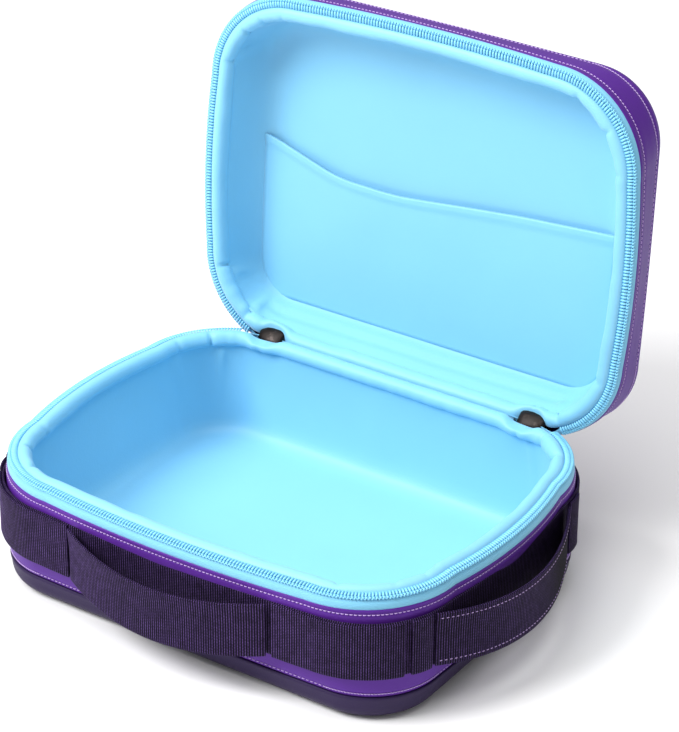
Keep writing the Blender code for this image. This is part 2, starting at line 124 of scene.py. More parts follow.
def rim_line(section, inset, places):
    """Points round the box at the given places, counted in eight stretches, inset from the outline."""
    half, front, back, radius, side_bow, front_bow = section
    places = np.asarray(places, float)
    stretch = np.floor(places).astype(int) % 8
    part = places - np.floor(places)
    x, low, high, reach = half - radius, front + radius, back - radius, radius - inset
    bow = 1 - (2 * part - 1) ** 2
    angle = np.radians(90 * part + 45 * (stretch - 1))
    across = np.where((stretch == REAR_RIGHT) | (stretch == FRONT_RIGHT), x, -x) + reach * np.cos(angle)
    deep = np.where((stretch == REAR_RIGHT) | (stretch == REAR_LEFT), high, low) + reach * np.sin(angle)
    across = np.where(stretch == RIGHT, x + reach + side_bow * bow, across)
    deep = np.where(stretch == RIGHT, low + (high - low) * part, deep)
    across = np.where(stretch == LEFT, -x - reach - side_bow * bow, across)
    deep = np.where(stretch == LEFT, high + (low - high) * part, deep)
    across = np.where(stretch == BACK, x - 2 * x * part, across)
    deep = np.where(stretch == BACK, high + reach, deep)
    across = np.where(stretch == FRONT, -x + 2 * x * part, across)
    deep = np.where(stretch == FRONT, low - reach - front_bow * bow, deep)
    return np.stack([across, deep], 1)


def even_places(step, start=0.0, end=8.0):
    """Places about step apart along the rim, and how far along it each lies; the last closes the line."""
    dense = np.linspace(start, end, 2400)
    line = rim_line(body_section(SEAM_Z), 0, dense)
    gone = np.concatenate([[0], np.cumsum(np.hypot(*np.diff(line, axis=0).T))])
    along = np.linspace(0, gone[-1], max(int(gone[-1] / step), 2) + 1)
    return np.interp(along, gone, dense), along


def corner_weight(places):
    """1 in the middle of a corner, 0 on the straights."""
    stretch = np.floor(places).astype(int) % 8
    part = places - np.floor(places)
    return np.where(stretch % 2 == 1, np.sin(math.pi * part) ** 0.7, 0)


def back_weight(places):
    """1 along the hinge, falling to 0 past the ends of the zip."""
    line = rim_line(body_section(SEAM_Z), 0, places)
    near = np.clip((CHAIN_END_X + 0.004 - np.abs(line[:, 0])) / 0.012, 0, 1)
    return np.where(line[:, 1] > 0, near * near * (3 - 2 * near), 0)


def corner_place(x, stretch):
    part = math.degrees(math.acos((x - HALF_LENGTH + RIM_RADIUS) / RIM_RADIUS)) / 90
    return stretch + (part if stretch in (REAR_RIGHT, FRONT_LEFT) else 1 - part)


def front_place(x):
    straight = HALF_LENGTH - RIM_RADIUS
    return FRONT + (x + straight) / (2 * straight)


def wander(values, scale, seed):
    """Smooth noise along a line, from -1 to 1."""
    return np.array([noise.noise(Vector((v * scale, seed * 7.31, seed * 1.7))) for v in values])


def sweep(section_of, profile, places, shift=None):
    """Rows of points round the box, one for each (inset, height) of the profile, both in millimetres."""
    rows = []
    for inset, z in profile:
        inset, z = inset * MM, z * MM
        more, lift = shift(inset, z) if shift else (0, 0)
        line = rim_line(section_of(z), inset + more, places)
        rows.append(np.column_stack([line, np.full(len(places), z) + lift]))
    return np.array(rows)


def lining_rows(section_of, inner, outer, places, sag, depth, scale):
    """Rows of a pan of lining, over both faces; depth and scale are those of the waves in its floor."""
    inside, outside = (sweep(section_of, profile, places, sag) for profile in (inner, outer))
    under, over = floor_rows(outside[-1], FLOOR_SHARES)[::-1], floor_rows(inside[-1], FLOOR_SHARES)
    for rows in (under, over):
        rows[..., 2] += depth * np.array([[noise.noise(Vector(p) * scale) for p in row] for row in rows])
    return np.concatenate([under, outside[::-1], inside, over])


def floor_rows(ring, shares):
    """Rows that close a ring towards its middle."""
    middle = ring.mean(0)
    return np.array([middle + (ring - middle) * share for share in shares])


# ---------------------------------------------------------------- meshes

def mesh_object(name, points, faces, uvs=None, matrix=None):
    points = np.asarray(points, float).reshape(-1, 3)
    if matrix is not None:
        turn = np.array(matrix)
        points = points @ turn[:3, :3].T + turn[:3, 3]
    mesh = bpy.data.meshes.new(name)
    mesh.from_pydata(points.tolist(), [], faces)
    layer = mesh.uv_layers.new(name="cloth")
    if uvs is not None:
        layer.uv.foreach_set("vector", np.asarray(uvs, np.float32).ravel())
    mesh.shade_smooth()
    made = bpy.data.objects.new(name, mesh)
    bpy.context.scene.collection.objects.link(made)
    bpy.context.view_layer.objects.active = made
    return made


def skin(name, grid, along, ring=True, tube=False, caps=False, matrix=None):
    """One mesh over rows of points. ring joins the last column to the first, tube the last row to the
    first, and caps closes the two end rows of a ring or the two end columns of a tube."""
    rows, columns = grid.shape[:2]
    steps = np.linalg.norm(np.diff(grid, axis=0), axis=2).mean(1)
    across = np.concatenate([[0], np.cumsum(steps)])
    if tube:
        across = np.append(across, across[-1] + np.linalg.norm(grid[0] - grid[-1], axis=1).mean())
    faces, uvs = [], []
    for row in range(rows if tube else rows - 1):
        above = (row + 1) % rows
        for column in range(columns if ring else columns - 1):
            beside = (column + 1) % columns
            corners = [(row, column, 0, 0), (row, beside, 0, 1),
                       (above, beside, 1, 1), (above, column, 1, 0)]
            faces.append([r * columns + c for r, c, _, _ in corners])
            uvs.extend((along[column + right], across[row + up]) for _, _, up, right in corners)
    if caps:
        if ring:
            ends = [list(range(columns))[::-1], [(rows - 1) * columns + c for c in range(columns)]]
        else:
            ends = [[r * columns for r in range(rows)],
                    [r * columns + columns - 1 for r in range(rows)][::-1]]
        for end in ends:
            faces.append(end)
            uvs.extend([(along[0], across[0])] * len(end))
    return mesh_object(name, grid, faces, uvs, matrix)


def tube_faces(count, sides, closed=False):
    """Faces over count rings of points: joined into a loop, or capped at both ends."""
    faces = [[n * sides + k, n * sides + (k + 1) % sides,
              (n + 1) % count * sides + (k + 1) % sides, (n + 1) % count * sides + k]
             for n in range(count if closed else count - 1) for k in range(sides)]
    if not closed:
        faces += [list(range(sides))[::-1], [(count - 1) * sides + k for k in range(sides)]]
    return faces


def rod(points, radius, sides=6):
    """Points and faces of a round bar along a line of points, pointed at both ends."""
    points = np.asarray(points, float)
    ways = np.gradient(points, axis=0)
    ways /= np.linalg.norm(ways, axis=1)[:, None]
    made = []
    up = np.array([0.0, 0.0, 1.0])
    for number, (point, way) in enumerate(zip(points, ways)):
        side = np.cross(way, up)
        side /= max(np.linalg.norm(side), 1e-9)
        top = np.cross(side, way)
        size = radius * (ROD_POINT if number in (0, len(points) - 1) else 1)
        for k in range(sides):
            angle = TAU * k / sides
            made.append(point + size * (math.cos(angle) * side + math.sin(angle) * top))
    return np.array(made), tube_faces(len(points), sides)


def scatter(name, shape, origins, rights, outs, ups, matrix=None):
    """Copies of a small shape, each on its own axes."""
    points, faces = shape
    count = len(points)
    places = (origins[:, None] + points[None, :, 0:1] * rights[:, None]
              + points[None, :, 1:2] * outs[:, None] + points[None, :, 2:3] * ups[:, None])
    every = [[v + number * count for v in face] for number in range(len(origins)) for face in faces]
    return mesh_object(name, places, every, None, matrix)


def joined(*shapes):
    """Several (points, faces) as one."""
    points, faces, gone = [], [], 0
    for some, each in shapes:
        points.append(some)
        faces += [[v + gone for v in face] for face in each]
        gone += len(some)
    return np.concatenate(points), faces


def rim_axes(section_of, inset, z, places):
    """Origins, directions along the rim and outward directions at places on the rim."""
    section = section_of(z)
    line = rim_line(section, inset, places)
    ahead = rim_line(section, inset, places + 1e-4) - line
    ahead /= np.linalg.norm(ahead, axis=1)[:, None]
    flat = np.zeros(len(places))
    origins = np.column_stack([line, flat + z])
    rights = np.column_stack([ahead, flat])
    outs = np.column_stack([ahead[:, 1], -ahead[:, 0], flat])
    return origins, rights, outs


# ---------------------------------------------------------------- finishes

class Wire:
    """A number on its way through a finish. Arithmetic on it adds the Math nodes."""

    def __init__(self, recipe, socket):
        self.recipe, self.socket = recipe, socket

    def maths(self, operation, *others):
        return self.recipe.add("ShaderNodeMath", {"operation": operation}, dict(enumerate((self, *others))))

    def __add__(self, other):
        return self.maths("ADD", other)

    def __sub__(self, other):
        return self.maths("SUBTRACT", other)

    def __mul__(self, other):
        return self.maths("MULTIPLY", other)

    def __pow__(self, other):
        return self.maths("POWER", other)

    def __rsub__(self, other):
        return self.recipe.add("ShaderNodeMath", {"operation": "SUBTRACT"}, {0: other, 1: self})

    __radd__, __rmul__ = __add__, __mul__

    def wave(self, pitch):
        """0 to 1 and back once for each pitch."""
        return (self * (TAU / pitch)).maths("SINE") * 0.5 + 0.5


class Recipe:
    """A material and the nodes that give it its finish."""

    def __init__(self, name):
        self.material = bpy.data.materials.new(name)
        self.material.use_nodes = True
        self.tree = self.material.node_tree
        self.tree.nodes.clear()
        self.shader = None

    def add(self, kind, settings=None, sockets=None, output=0):
        node = self.tree.nodes.new(kind)
        for key, value in (settings or {}).items():
            if key == "stops":
                for number, (place, level) in enumerate(value):
                    stops = node.color_ramp.elements
                    stop = stops[number] if number < len(stops) else stops.new(place)
                    stop.position, stop.color = place, (level, level, level, 1)
            else:
                setattr(node, key, value)
        for key, value in (sockets or {}).items():
            if isinstance(value, Wire):
                self.tree.links.new(value.socket, node.inputs[key])
            else:
                node.inputs[key].default_value = value
        return Wire(self, node.outputs[output] if node.outputs else None)

    def place(self):
        return self.add("ShaderNodeTexCoord", output=3)

    def cloth(self):
        """How far along and across the cloth, in metres."""
        at = self.add("ShaderNodeUVMap", {"uv_map": "cloth"})
        split = self.add("ShaderNodeSeparateXYZ", sockets={0: at})
        return split, Wire(self, split.socket.node.outputs[1])

    def cloud(self, scale, detail=3.0, rough=0.5):
        return self.add("ShaderNodeTexNoise", {"noise_dimensions": "3D"},
                        {"Vector": self.place(), "Scale": scale, "Detail": detail, "Roughness": rough})

    def ramp(self, value, *stops):
        return self.add("ShaderNodeValToRGB", {"stops": stops}, {"Fac": value})

    def mix(self, share, first, second):
        return self.add("ShaderNodeMix", {"data_type": "RGBA"}, {0: share, 6: first, 7: second}, output=2)

    def finish(self, colour, roughness, height=None, depth=0.0, **fixed):
        """Ends in a Principled shader; height is the relief in metres."""
        sockets = {"Base Color": colour, "Roughness": roughness}
        if height is not None:
            sockets["Normal"] = self.add("ShaderNodeBump", None,
                                         {"Strength": 1.0, "Distance": depth, "Height": height})
        sockets.update({key.replace("_", " "): value for key, value in fixed.items()})
        shader = self.add("ShaderNodeBsdfPrincipled", None, sockets)
        self.add("ShaderNodeOutputMaterial", None, {0: shader})
        return self.material


def linear(red, green, blue):
    """A colour given as it looks on a screen, from 0 to 255, as light."""
    return tuple((c / 255 / 12.92) if c <= 10 else ((c / 255 + 0.055) / 1.055) ** 2.4
                 for c in (red, green, blue))


def toned(colour, times):
    return tuple(min(c * times, 1) for c in colour[:3]) + (1,)


def cover_finish(colour):
    """Coated cloth: a fine grain under a satin film, slightly uneven in tone."""
    r = Recipe("coated_cover")
    grain = r.cloud(1500, 2)
    tone = r.cloud(22, 4)
    rub = r.ramp(r.cloud(90, 5, 0.7), (0.55, 0.0), (0.8, 1.0))
    shade = r.mix(tone, toned(colour, 0.86), toned(colour, 1.14))
    shade = r.mix(rub * 0.10, shade, toned(colour, 1.9))
    relief = grain * 0.6 + r.cloud(340, 3) * 0.4
    return r.finish(shade, 0.40 + tone * 0.10, relief, 0.00012, Specular_IOR_Level=0.22)


def base_finish(colour):
    """Moulded rubbery base with a fine etched grain."""
    r = Recipe("moulded_base")
    tone = r.cloud(30, 4)
    grain = r.cloud(1300, 2, 0.6)
    return r.finish(r.mix(tone, toned(colour, 0.85), toned(colour, 1.18)), 0.48 + grain * 0.14,
                    grain, 0.00010, Specular_IOR_Level=0.25)


def liner_finish(colour, name="wipe_clean_liner", times=1.0):
    """Smooth coated lining: nearly plain, with faint pulls and a very fine grain. A times below 1 makes a
    darker copy of the whole colour, as painted shade.
    """
    r = Recipe(name)
    tone = r.cloud(16, 3)
    grain = r.cloud(1100, 2)
    pulls = r.cloud(120, 4, 0.6)
    shade = r.mix(tone, toned(colour, 0.94 * times), toned(colour, 1.04 * times))
    return r.finish(shade, 0.46 + pulls * 0.10, grain * 0.35 + pulls * 0.65, 0.00016,
                    Sheen_Weight=0.20, Specular_IOR_Level=0.45)


def tape_finish(colour):
    """Zip tape: fine cords that run along it, crossed by a close weave."""
    r = Recipe("zip_tape")
    along, across = r.cloth()
    cords = across.wave(0.00062)
    weave = along.wave(0.00045)
    relief = cords * 0.7 + weave * 0.3
    tone = r.cloud(60, 3)
    shade = r.mix(relief * 0.55 + tone * 0.25, toned(colour, 0.84), toned(colour, 1.08))
    return r.finish(shade, 0.58 + tone * 0.10, relief, 0.00010, Sheen_Weight=0.2)


def tooth_finish(colour):
    r = Recipe("zip_teeth")
    tone = r.cloud(400, 3)
    return r.finish(r.mix(tone, toned(colour, 0.92), toned(colour, 1.10)), 0.26 + tone * 0.14,
                    r.cloud(2200, 2), 0.00003, Specular_IOR_Level=0.55)


def webbing_finish(dark, pale, rib, thread):
    """Heavy webbing: ribs across it, broken into short pale floats by the warp."""
    r = Recipe("heavy_webbing")
    along, across = r.cloth()
    ribs = along.wave(rib) ** 4.0
    floats = ((across * (TAU / thread) + along.wave(rib * 2) * math.pi).maths("SINE") * 0.5 + 0.5) ** 2.4
    wear = r.ramp(r.cloud(260, 4, 0.7), (0.30, 0.40), (0.66, 1.0))
    fleck = ribs * (floats * 0.8 + 0.2) * wear
    tone = r.cloud(35, 4)
    shade = r.mix(tone, toned(dark, 0.75), toned(dark, 1.35))
    shade = r.mix(fleck * 0.80, shade, toned(pale, 1.0))
    return r.finish(shade, 0.72 - fleck * 0.16, ribs * 0.6 + floats * 0.4, 0.00022,
                    Specular_IOR_Level=0.10)


def thread_finish(colour):
    r = Recipe("stitch_thread")
    twist = r.cloud(1600, 2)
    return r.finish(r.mix(twist, toned(colour, 0.8), toned(colour, 1.1)), 0.5 + twist * 0.1,
                    twist, 0.00008, Sheen_Weight=0.3)


def metal_finish(colour):
    """Dark plated metal, brighter and smoother where the plating is rubbed."""
    r = Recipe("dark_plated_metal")
    patina = r.cloud(260, 5, 0.6)
    rub = r.ramp(patina, (0.5, 0.0), (0.72, 1.0))
    return r.finish(r.mix(rub, toned(colour, 0.8), toned(colour, 2.6)), 0.42 - rub * 0.14,
                    r.cloud(900, 3), 0.00006, Metallic=0.75)


def foam_finish(colour):
    """Open-cell foam."""
    r = Recipe("padding_foam")
    cells = r.add("ShaderNodeTexVoronoi", None, {"Vector": r.place(), "Scale": 900.0})
    tone = r.cloud(40, 3)
    shade = r.mix(cells, toned(colour, 0.6), toned(colour, 1.0))
    return r.finish(shade, 0.9 - tone * 0.05, cells, 0.0004)


def board_finish(colour):
    """Stiff fibre board."""
    r = Recipe("stiffener_board")
    fibres = r.cloud(420, 6, 0.7)
    return r.finish(r.mix(fibres, toned(colour, 0.7), toned(colour, 1.1)), 0.7 + fibres * 0.1,
                    fibres, 0.00015)


# ---------------------------------------------------------------- settings

def colour_setting(name, text, red, green, blue):
    return bpy.props.FloatVectorProperty(name=name, description=text, subtype="COLOR", size=3,
                                         min=0.0, max=1.0, default=linear(red, green, blue))


def length_setting(name, text, default, low, high):
    return bpy.props.FloatProperty(name=name, description=text, subtype="DISTANCE", unit="LENGTH",
                                   precision=5, default=default, min=low, max=high)


class LunchBoxColours(bpy.types.PropertyGroup):
    cover: colour_setting("Cover", "Coated cloth of the body and the lid", 84, 36, 140)
    base: colour_setting("Base", "Moulded base", 40, 25, 66)
    liner: colour_setting("Lining", "Wipe-clean lining, rolls and pocket", 132, 200, 232)
    tape: colour_setting("Zip tape", "Tape and hinge cloth", 124, 198, 232)
    teeth: colour_setting("Zip teeth", "Coil of the zip", 132, 206, 238)
    web_dark: colour_setting("Webbing", "Ground of the webbing", 9, 3, 18)
    web_pale: colour_setting("Webbing floats", "Pale floats in the webbing", 146, 112, 200)
    thread: colour_setting("Thread", "Stitches on the cover", 196, 164, 226)
    metal: colour_setting("Zip metal", "Sliders, pulls and stops", 34, 29, 27)
    foam: colour_setting("Foam", "Padding inside the walls", 214, 214, 206)
    board: colour_setting("Board", "Stiffeners in the floor and lid", 120, 112, 100)


class LunchBoxSizes(bpy.types.PropertyGroup):
    rib: length_setting("Rib pitch", "From one rib of the webbing to the next", 0.00125, 0.0006, 0.004)
    thread: length_setting("Float pitch", "From one pale float to the next across the webbing",
                           0.00085, 0.0004, 0.004)
    tooth: length_setting("Tooth pitch", "From one tooth of the zip to the next", 0.0017, 0.0012, 0.006)
    stitch: length_setting("Stitch pitch", "From one stitch to the next", 0.0021, 0.0015, 0.008)
    gather: length_setting("Gather", "Depth of the gathers in the rolls", 0.0010, 0.0, 0.003)
    pucker: length_setting("Pucker", "Depth of the puckers beside a seam", 0.00018, 0.0, 0.001)


MATERIALS = {}


def colours():
    return bpy.context.scene.lunch_box_colours


def sizes():
    return bpy.context.scene.lunch_box_sizes


def finish_of(name):
    """The material of that name, made when it is first asked for."""
    if name not in MATERIALS:
        c, s = colours(), sizes()
        makers = {
            "cover": lambda: cover_finish(c.cover),
            "base": lambda: base_finish(c.base),
            "liner": lambda: liner_finish(c.liner),
            # the hinge cloth takes the tape colour darkened to 0.62: painted shade for the valley between
            # the rolls
            "gusset": lambda: liner_finish(c.tape, "hinge_cloth_painted_shade", 0.62),
            "tape": lambda: tape_finish(c.tape),
            "teeth": lambda: tooth_finish(c.teeth),
            "webbing": lambda: webbing_finish(c.web_dark, c.web_pale, s.rib, s.thread),
            "thread": lambda: thread_finish(c.thread),
            "metal": lambda: metal_finish(c.metal),
            "foam": lambda: foam_finish(c.foam),
            "board": lambda: board_finish(c.board),
        }
        MATERIALS[name] = makers[name]()
    return MATERIALS[name]


def dress(made, finish, slot, body=None, *nodes):
    made.data.materials.append(finish_of(finish))
    if body:
        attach(made, body)
    if nodes:
        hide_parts(*nodes)
    return made


# ---------------------------------------------------------------- body

def arc(radius, inset, z, steps):
    """Points of a quarter rounding in a profile, in millimetres."""
    points = []
    for step in range(steps + 1):
        angle = math.radians(90 * step / steps)
        points.append((inset - radius * math.sin(angle), z - radius * math.cos(angle)))
    return points


def pucker(along, depth, seams):
    """Small puckers beside seams at the given heights, in millimetres."""
    lines = [wander(along, 240, 3 + number) for number in range(len(seams))]
    slow = wander(along, 45, 9)

    def shift(inset, z):
        more = COVER_WAVE * slow
        for line, seam in zip(lines, seams):
            near = max(0.0, 1 - abs(z / MM - seam) / PUCKER_REACH)
            more = more + near * depth * line
        return more, 0
    return shift


class StepMixin:
    bl_options = {"REGISTER", "UNDO"}


class LUNCH_OT_base(StepMixin, bpy.types.Operator):
    """Makes the moulded base with its rounded foot and raised lip"""
    bl_idname = "lunch_box.base"
    bl_label = "Base"

    def execute(self, context):
        places, along = even_places(0.003)
        outside = arc(8.0, 8.0, 8.0, 6)
        lip = [(-0.05, 11.0), (-0.35, 12.3), (-0.42, 13.2), (-0.30, 13.9), (0.15, 14.25), (0.9, 14.3),
               (1.5, 14.0), (1.9, 13.2)]
        inside = [(2.0, 9.0), (3.2, 4.6), (8.2, 2.1)]
        rows = sweep(body_section, outside + lip + inside, places[:-1])
        grid = np.concatenate([floor_rows(rows[0], (0.05, 0.35, 0.7, 0.93)), rows,
                               floor_rows(rows[-1], (0.9, 0.5, 0.05))])
        dress(skin("base_cup", grid, along, caps=True), "base", "base", "tub", "base_shell")
        return {"FINISHED"}


STITCH_RADIUS, STITCH_INSET = 0.00026, 0.00005
PULL_SPAN = 0.0065        # half the width of rim in which stitches are pressed in for a zip pull
PULL_PRESS = 0.00045      # how far they are pressed into the cloth


def stitches(name, section_of, z, body, matrix=None):
    """A row of stitches round the box; each dips into the cloth at its two ends. The row is pressed in where
    a zip pull can swing over the back, on every height alike."""
    places, _ = even_places(sizes().stitch)
    origins, rights, outs = rim_axes(section_of, STITCH_INSET, z, places[:-1])
    under_pull = (np.abs(np.abs(origins[:, 0]) - SLIDER_X) < PULL_SPAN) & (origins[:, 1] > 0.05)
    origins[under_pull] -= outs[under_pull] * PULL_PRESS
    long = sizes().stitch * 0.36
    line = [(-long, -0.00030, 0), (-long * 0.55, 0.00012, 0), (long * 0.55, 0.00012, 0), (long, -0.00030, 0)]
    ups = np.tile((0.0, 0.0, 1.0), (len(origins), 1))
    made = scatter(name, rod(line, STITCH_RADIUS, 5), origins, rights, outs, ups, matrix)
    return dress(made, "thread", "cover", body)


class LUNCH_OT_cover(StepMixin, bpy.types.Operator):
    """Makes the coated cover of the body with its two rows of stitching"""
    bl_idname = "lunch_box.cover"
    bl_label = "Body cover"

    def execute(self, context):
        places, along = even_places(0.002)
        outer = [(1.4, 13.4), (0.8, 14.6), (0.25, 15.3), (0.05, 15.9), (0.32, 16.6), (0.02, 17.4),
                 (-0.15, 19), (0, 23), (0, 30), (0, 40), (0, 50), (-0.02, 55), (-0.15, 58.3),
                 (0.05, 59.6), (0.34, 60.3), (0.05, 61.0), (-0.12, 61.9), (0.0, 62.6), (0.5, 63.0)]
        inner = [(1.1, 62.8), (1.25, 60), (1.25, 40), (1.25, 16)]
        shift = pucker(along[:-1], sizes().pucker, (16.6, 60.3))
        rows = sweep(body_section, outer + inner, places[:-1], shift)
        dress(skin("body_cover", rows, along, tube=True), "cover", "cover", "tub", "body_wall")
        stitches("body_stitches_low", body_section, 0.0166, "tub")
        stitches("body_stitches_high", body_section, 0.0603, "tub")
        return {"FINISHED"}


def fold_back(places, low):
    """Lays the inner edge of a zip tape upright along the hinge, where it carries no teeth."""
    hinge = back_weight(places)

    def shift(inset, z):
        over = max(0.0, abs(z - low) - 0.0012)
        way = 1 if z > low else -1
        return -hinge * max(inset - 0.0009, 0) * 0.72, -way * hinge * over * 0.38
    return shift


def mirrored(profile):
    """A profile of the body's zip or roll as the lid's, on the other side of the parting plane."""
    return [(inset, 2 * PARTING_Z / MM - z) for inset, z in profile]


TAPE = [(1.2, 62.3), (0.55, 62.5), (0.25, 63.0), (0.15, 63.8), (0.2, 64.8), (0.45, 65.8), (0.85, 66.6),
        (1.05, 66.75), (1.15, 67.0), (1.6, 67.5), (2.6, 68.0), (3.8, 68.4), (5.0, 68.6), (5.5, 68.3),
        (5.2, 67.5), (3.6, 67.0), (2.2, 66.3), (1.5, 65.2), (1.3, 63.8)]
ROLL = [(5.0, 62.9), (5.1, 65.0), (5.0, 66.8), (5.2, 68.2), (5.9, 69.5), (7.1, 70.4), (8.5, 70.8),
        (10.0, 70.7), (11.3, 69.9), (12.3, 68.6), (12.9, 67.0), (13.0, 65.6), (12.5, 64.3), (11.6, 63.3),
        (10.3, 62.7), (8.4, 62.6), (6.4, 62.7)]


def teeth(name, section_of, way, body, matrix, joint_axis, anchor):
    """Loops of the coil and the small braid along their outer ends."""
    start, end = corner_place(CHAIN_END_X, REAR_LEFT), 8 + corner_place(CHAIN_END_X, REAR_RIGHT)
    places, _ = even_places(sizes().tooth, start, end)
    z = PARTING_Z + way * 0.00085
    origins, rights, outs = rim_axes(section_of, 0.0031, z, places[:-1])
    ups = np.tile((0.0, 0.0, float(way)), (len(origins), 1))
    loop = rod([(0.00018, -0.0023, 0.00045), (0.00010, -0.0018, 0.00090), (0, -0.0006, 0.00095),
                (-0.0001, 0.0003, 0.00072), (-0.00018, 0.0008, 0.00025)], 0.00066, 6)
    braid = rod([(0.0008, 0.0009, 0.00040), (0.0001, 0.0015, 0.00045), (-0.0007, 0.0024, -0.00015)],
                0.00052, 5)
    tie = rod([(-0.0007, 0.0008, 0.00045), (0.0001, 0.0013, 0.00052), (0.0008, 0.0022, 0.00005)],
              0.00046, 5)
    made = scatter(name, joined(loop, braid, tie), origins, rights, outs, ups, matrix)
    dress(made, "teeth", "zip", body, name.replace("_teeth", "_zip_coil"))
    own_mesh(made)
    return made


def roll_shift(places, along, gather, seed, way):
    """Gathers of a roll: long waves on the straights, folds in the corners, ruffles at the back."""
    corner = corner_weight(places)
    hinge = back_weight(places)
    soft = wander(along, 28, seed) * 0.8 + wander(along, 75, seed + 1) * 0.45
    ruffle = wander(along, 190, seed + 2)
    folds = 1 - np.abs(np.sin(along * 112 + 2.6 * wander(along, 24, seed + 3)))
    folds = folds ** 5 * corner * (0.75 + 0.5 * wander(along, 50, seed + 4))
    line = rim_line(body_section(SEAM_Z), 0, places)
    give = np.exp(-((np.abs(line[:, 0]) - SLIDER_X) / 0.0095) ** 4) * (line[:, 1] > 0.05)
    back = (rim_line(body_section(SEAM_Z), 0, places)[:, 1] > 0.07).astype(float)

    def shift(inset, z):
        inner = min(max((inset - 0.0055) / 0.0070, 0), 1)
        top = min(max(way * (z - PARTING_Z) / 0.0034, 0), 1)
        more = gather * inner * (soft * 1.1 + back * ruffle * 0.45) - folds * inner * 0.0034
        waves = gather * 0.55 * top * (soft + 0.5 * back * ruffle)
        lift = way * (waves - folds * top * (0.25 + inner) * 0.0019)
        lift = lift - way * top * (hinge * 0.0004 + give * 0.0030)
        return more + give * 0.0024, lift
    return shift


def roll(name, section_of, profile, seed, way, body, matrix=None):
    """The padded roll round a mouth; way is 1 where it rises to the parting plane and -1 above it."""
    places, along = even_places(0.0016)
    shift = roll_shift(places[:-1], along[:-1], sizes().gather, seed, way)
    made = skin(name, sweep(section_of, profile, places[:-1], shift), along, tube=True, matrix=matrix)
    return dress(made, "liner", "liner", body)


class LUNCH_OT_lining(StepMixin, bpy.types.Operator):
    """Makes the lining of the body and the padded roll round its mouth"""
    bl_idname = "lunch_box.lining"
    bl_label = "Body lining"

    def execute(self, context):
        made = roll("body_roll", body_section, ROLL, 2, 1, "tub")
        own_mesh(made)

        places, along = even_places(0.003)
        corner = corner_weight(places[:-1])
        slow = wander(along[:-1], 14, 5)
        quick = wander(along[:-1], 60, 6)
        folds = (1 - np.abs(np.sin(along[:-1] * 95))) ** 3 * corner

        def sag(inset, z):
            high = min(max((z - 0.012) / 0.012, 0), 1) * min(max((0.066 - z) / 0.006, 0), 1)
            upper = min(max((z - 0.034) / 0.026, 0), 1)
            return high * (0.0007 + 0.0007 * slow + 0.00025 * quick + folds * upper * 0.0022), 0

        inner = [(10.6, 65.4), (9.9, 64.2), (9.5, 62.0), (9.4, 58), (9.4, 52), (9.4, 46), (9.4, 40),
                 (9.4, 34), (9.4, 28), (9.5, 23), (9.9, 18.5), (11.0, 14.8), (13.0, 12.4),
                 (16.0, 11.2), (20.0, 10.95)]
        outer = [(x - (0.8 if z > 13 else 0.4), z - (0.5 if z < 20 else 0)) for x, z in inner]
        grid = lining_rows(body_section, inner, outer, places[:-1], sag, 0.00035, 24)
        made = skin("body_lining", grid, along, caps=True)
        dress(made, "liner", "liner", "tub", "body_liner")
        return {"FINISHED"}


class LUNCH_OT_zip(StepMixin, bpy.types.Operator):
    """Makes both halves of the zip: tapes, loops of the coil and their braid"""
    bl_idname = "lunch_box.zip"
    bl_label = "Zip"

    def execute(self, context):
        places, along = even_places(0.0022)
        lid = opened()
        lid_up = lid.to_3x3() @ Vector((0, 0, 1))
        lid_anchor = lid @ Vector((0, 0, LID_SEAM_Z))
        halves = (("body", body_section, TAPE, "tub", None, (0, 0, 1), (0, 0, SEAM_Z), SEAM_Z, 1),
                  ("lid", lid_section, mirrored(TAPE), "lid", lid, tuple(lid_up), tuple(lid_anchor),
                   LID_SEAM_Z, -1))
        for name, section_of, profile, body, matrix, axis, anchor, low, way in halves:
            rows = sweep(section_of, profile, places[:-1], fold_back(places[:-1], low))
            made = skin(f"{name}_tape", rows, along, tube=True, matrix=matrix)
            dress(made, "tape", "zip", body, f"{name}_zip_tape", f"{name}_hinge_tape")
            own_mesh(made)
            teeth(f"{name}_teeth", section_of, way, body, matrix, axis, anchor)
        return {"FINISHED"}


class LUNCH_OT_gusset(StepMixin, bpy.types.Operator):
    """Makes the soft cloth that joins the two rolls behind the hinge"""
    bl_idname = "lunch_box.gusset"
    bl_label = "Hinge cloth"

    def execute(self, context):
        xs = np.linspace(-0.071, 0.071, 120)
        path = [(93.4, 66.8), (94.2, 65.9), (95.0, 65.0), (96.0, 64.6), (97.0, 64.9), (97.8, 65.7),
                (98.4, 66.6)]
        rows = []
        for y, z in path + [(y, z - 0.8) for y, z in reversed(path)]:
            ruffle = 0.00035 * wander(xs, 160, 4)
            rows.append(np.column_stack([xs, np.full(len(xs), y * MM) + ruffle, np.full(len(xs), z * MM)]))
        made = skin("hinge_gusset", np.array(rows), xs, ring=False, tube=True, caps=True)
        # its finish is the tape colour darkened, painted shade where it lies between the two rolls
        made.data.materials.append(finish_of("gusset"))
        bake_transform(made)
        return {"FINISHED"}


# ---------------------------------------------------------------- webbing

